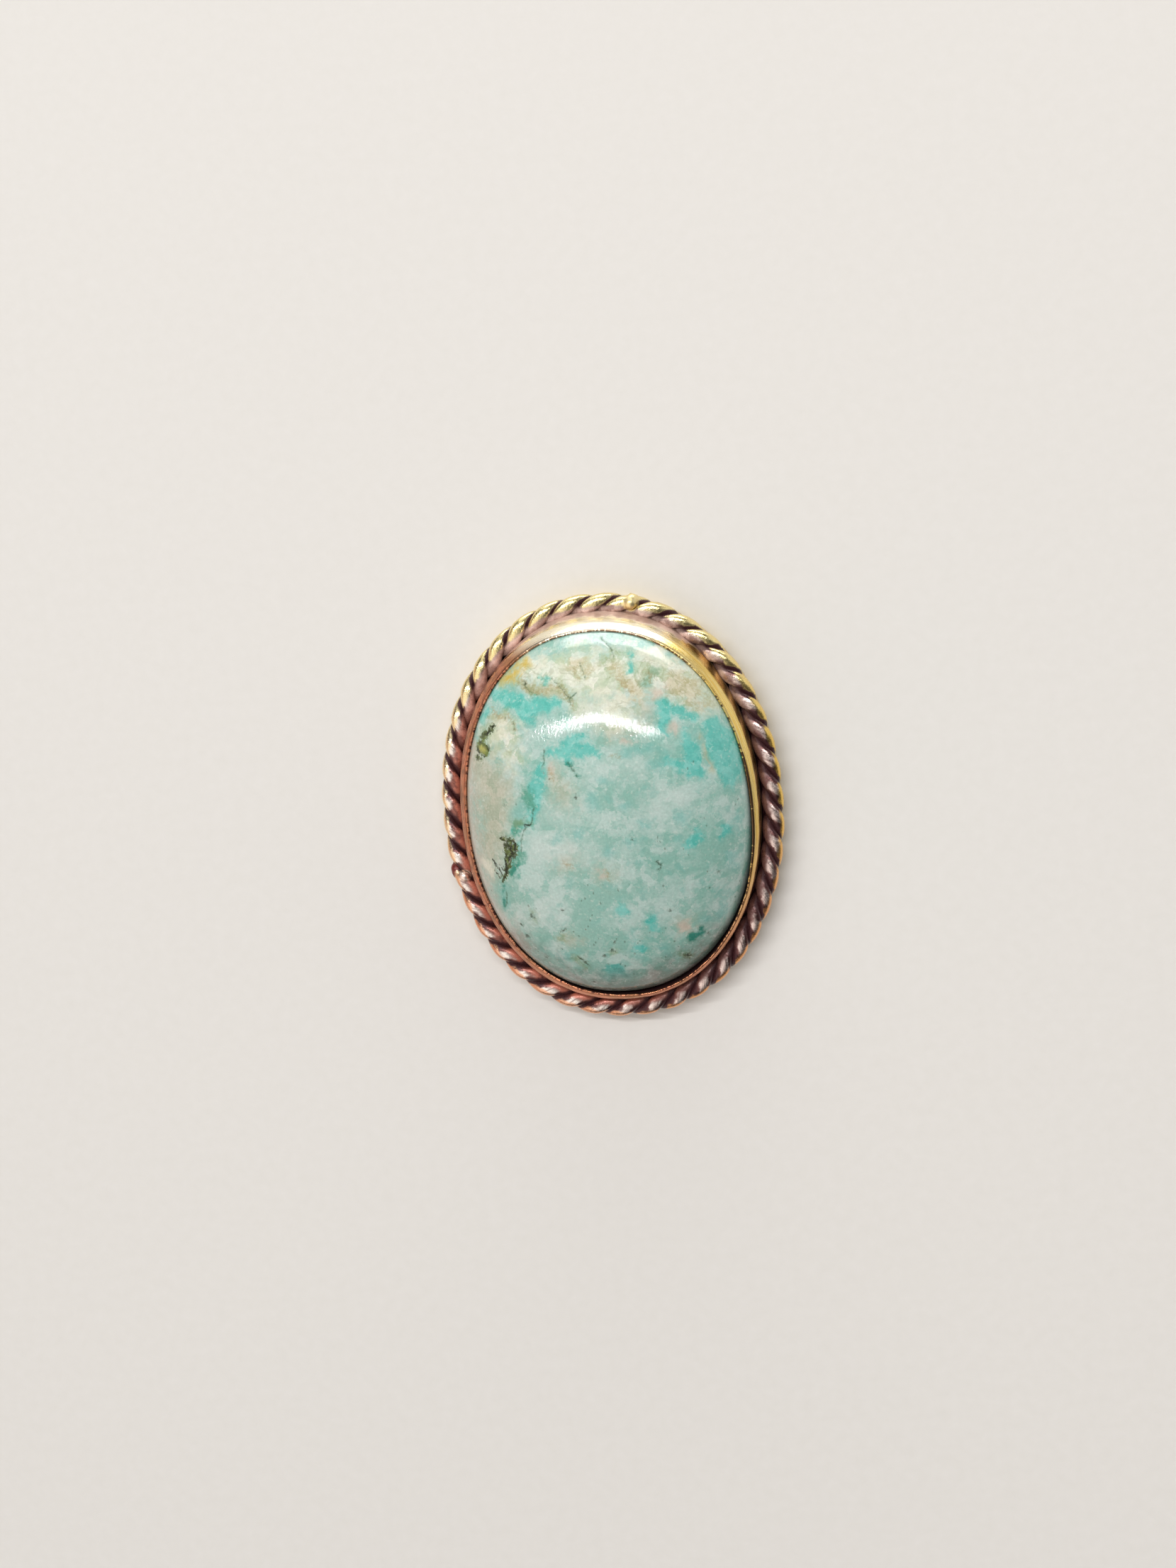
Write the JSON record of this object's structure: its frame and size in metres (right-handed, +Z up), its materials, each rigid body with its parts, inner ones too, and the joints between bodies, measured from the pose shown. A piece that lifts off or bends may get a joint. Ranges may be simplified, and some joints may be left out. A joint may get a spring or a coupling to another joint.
{
  "type": "bezel-set turquoise cabochon",
  "caption": "Oval domed turquoise cabochon held by a thin brass bezel on a flat back plate, with a twisted brass wire border around it.",
  "frame": {"origin": "middle of the back plate's underside, on the surface that the setting lies on", "axes": "+Z up through the stone's dome, +Y along the oval's long axis, +X across it"},
  "size_m": [0.0184, 0.0226, 0.0063],
  "materials": {
    "setting_brass": "polished, finely scratched along the bezel",
    "wire_brass": "polished crests with dark purple-brown tarnish between the strands",
    "turquoise": "polished, pale grey-green matrix with turquoise patches and olive inclusions"
  },
  "bodies": {
    "root": {"back_plate": "setting_brass", "bezel": "setting_brass", "twisted_wire_a": "wire_brass", "twisted_wire_b": "wire_brass", "turquoise_stone": "turquoise"}
  },
  "joints": []
}
